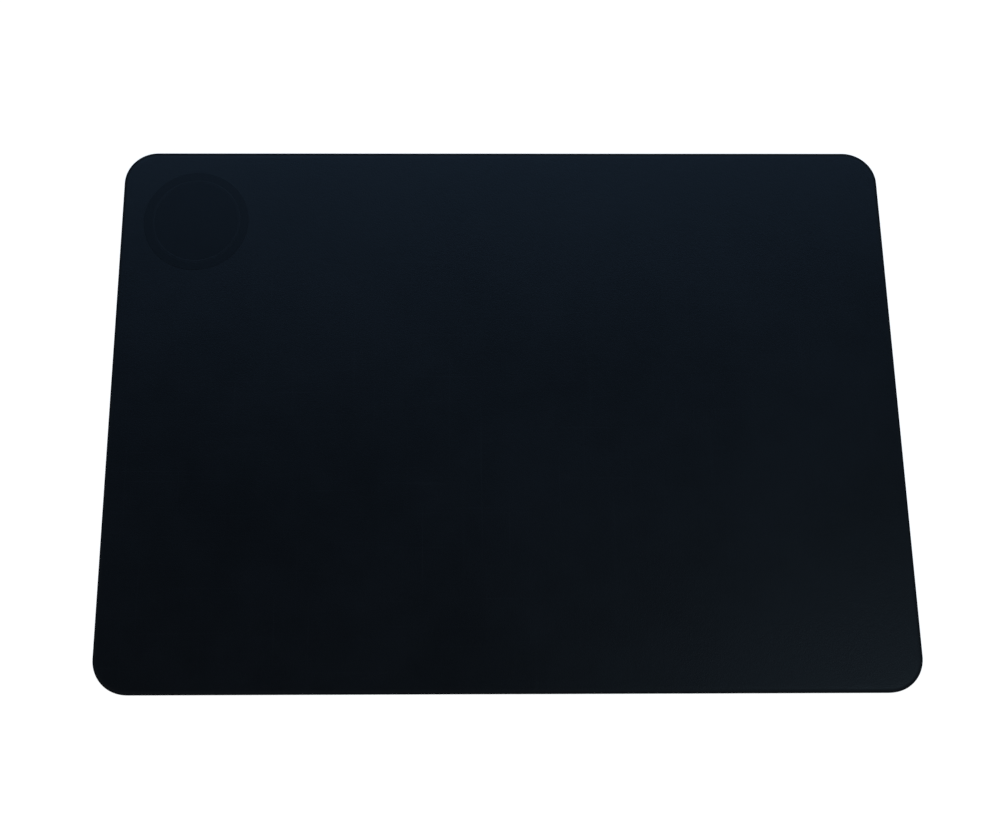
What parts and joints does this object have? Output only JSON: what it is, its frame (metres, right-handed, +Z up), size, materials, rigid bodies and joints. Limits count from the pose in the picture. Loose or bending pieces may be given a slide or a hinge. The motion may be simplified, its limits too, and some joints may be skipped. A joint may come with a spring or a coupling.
{
  "type": "self healing cutting mat",
  "caption": "Thin flat rectangular mat with rounded corners, soft faces laminated over a hard core and a faint round mark in one corner, laid on a bench for cutting leather.",
  "frame": {"origin": "centre of the underside, on the bench", "axes": "+X along the long side, +Y away from the user, +Z up out of the work surface; the round mark is in the -X +Y corner"},
  "size_m": [0.297, 0.21, 0.003],
  "materials": {
    "face_vinyl": "soft satin black vinyl with a fine pebble, faint blue cast",
    "underside_vinyl": "soft matte black vinyl with a coarser non-slip pebble",
    "inner_vinyl": "semi-rigid charcoal vinyl, cut edge only",
    "core_plastic": "hard dark grey plastic, cut edge only",
    "mark_ink": "flat black ink, slightly darker and duller than the vinyl",
    "ring_ink": "satin charcoal ink"
  },
  "bodies": {
    "root": {"top_healing_ply": "face_vinyl", "upper_inner_ply": "inner_vinyl", "hard_core_ply": "core_plastic", "lower_inner_ply": "inner_vinyl", "bottom_healing_ply": "underside_vinyl", "mark_ink_disc": "mark_ink", "mark_ink_ring": "ring_ink"}
  },
  "joints": []
}
